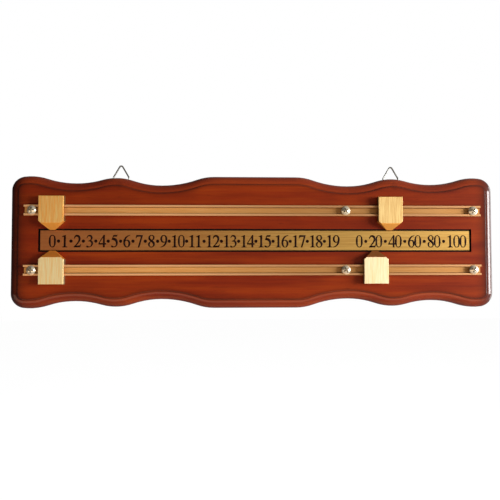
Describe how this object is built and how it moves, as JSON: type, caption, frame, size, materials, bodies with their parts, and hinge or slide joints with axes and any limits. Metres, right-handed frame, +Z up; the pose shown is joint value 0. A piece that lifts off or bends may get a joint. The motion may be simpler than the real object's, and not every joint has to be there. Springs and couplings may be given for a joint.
{
  "type": "wall scoreboard",
  "caption": "Wall-hung wooden scoreboard with a serpentine outline, brass rails, sliding pointers and an inlaid number plate between them.",
  "frame": {"origin": "centre of the board's flat back face, which lies against the wall", "axes": "+X to the right along the board, +Z up, +Y out of the back into the wall; the front faces -Y"},
  "size_m": [0.61, 0.0268, 0.1816],
  "materials": {
    "lacquered_wood": "red-brown gloss lacquer",
    "plate_brass": "satin",
    "rail_brass": "satin, drawn",
    "pointer_brass": "brushed",
    "rivet_brass": "satin",
    "spring_steel": "satin",
    "nickel_screw": "bright nickel plate",
    "zinc_steel": "zinc plate",
    "steel_wire": "bright drawn wire",
    "tape": "white foam"
  },
  "bodies": {
    "board": {"board": "lacquered_wood", "number_plate": "plate_brass", "plate_tape": "tape", "upper_rail": "rail_brass", "lower_rail": "rail_brass", "rail_screws": "nickel_screw", "hanger_strap_left": "zinc_steel", "hanger_strap_right": "zinc_steel", "hanger_screws": "zinc_steel"},
    "upper_units": {"upper_units_pointer": "pointer_brass", "upper_units_spring": "spring_steel", "upper_units_rivet": "rivet_brass"},
    "upper_twenties": {"upper_twenties_pointer": "pointer_brass", "upper_twenties_spring": "spring_steel", "upper_twenties_rivet": "rivet_brass"},
    "lower_units": {"lower_units_pointer": "pointer_brass", "lower_units_spring": "spring_steel", "lower_units_rivet": "rivet_brass"},
    "lower_twenties": {"lower_twenties_pointer": "pointer_brass", "lower_twenties_spring": "spring_steel", "lower_twenties_rivet": "rivet_brass"},
    "ring_left": {"hanger_ring_left": "steel_wire"},
    "ring_right": {"hanger_ring_right": "steel_wire"}
  },
  "joints": [
    {"name": "upper_units_slide", "type": "slide", "parent": "board", "child": "upper_units", "axis": [1, 0, 0], "range_m": [-0.00295, 0.34355]},
    {"name": "upper_twenties_slide", "type": "slide", "parent": "board", "child": "upper_twenties", "axis": [1, 0, 0], "range_m": [-0.03475, 0.08495]},
    {"name": "lower_units_slide", "type": "slide", "parent": "board", "child": "lower_units", "axis": [1, 0, 0], "range_m": [-0.00365, 0.34285]},
    {"name": "lower_twenties_slide", "type": "slide", "parent": "board", "child": "lower_twenties", "axis": [1, 0, 0], "range_m": [-0.01615, 0.10355]},
    {"name": "ring_left_hinge", "type": "hinge", "parent": "board", "child": "ring_left", "pos_m": [-0.1705, -0.00223, 0.0784], "axis": [-1, 0, 0], "range_deg": [0, 178]},
    {"name": "ring_right_hinge", "type": "hinge", "parent": "board", "child": "ring_right", "pos_m": [0.1765, -0.00223, 0.0784], "axis": [-1, 0, 0], "range_deg": [0, 178]}
  ]
}
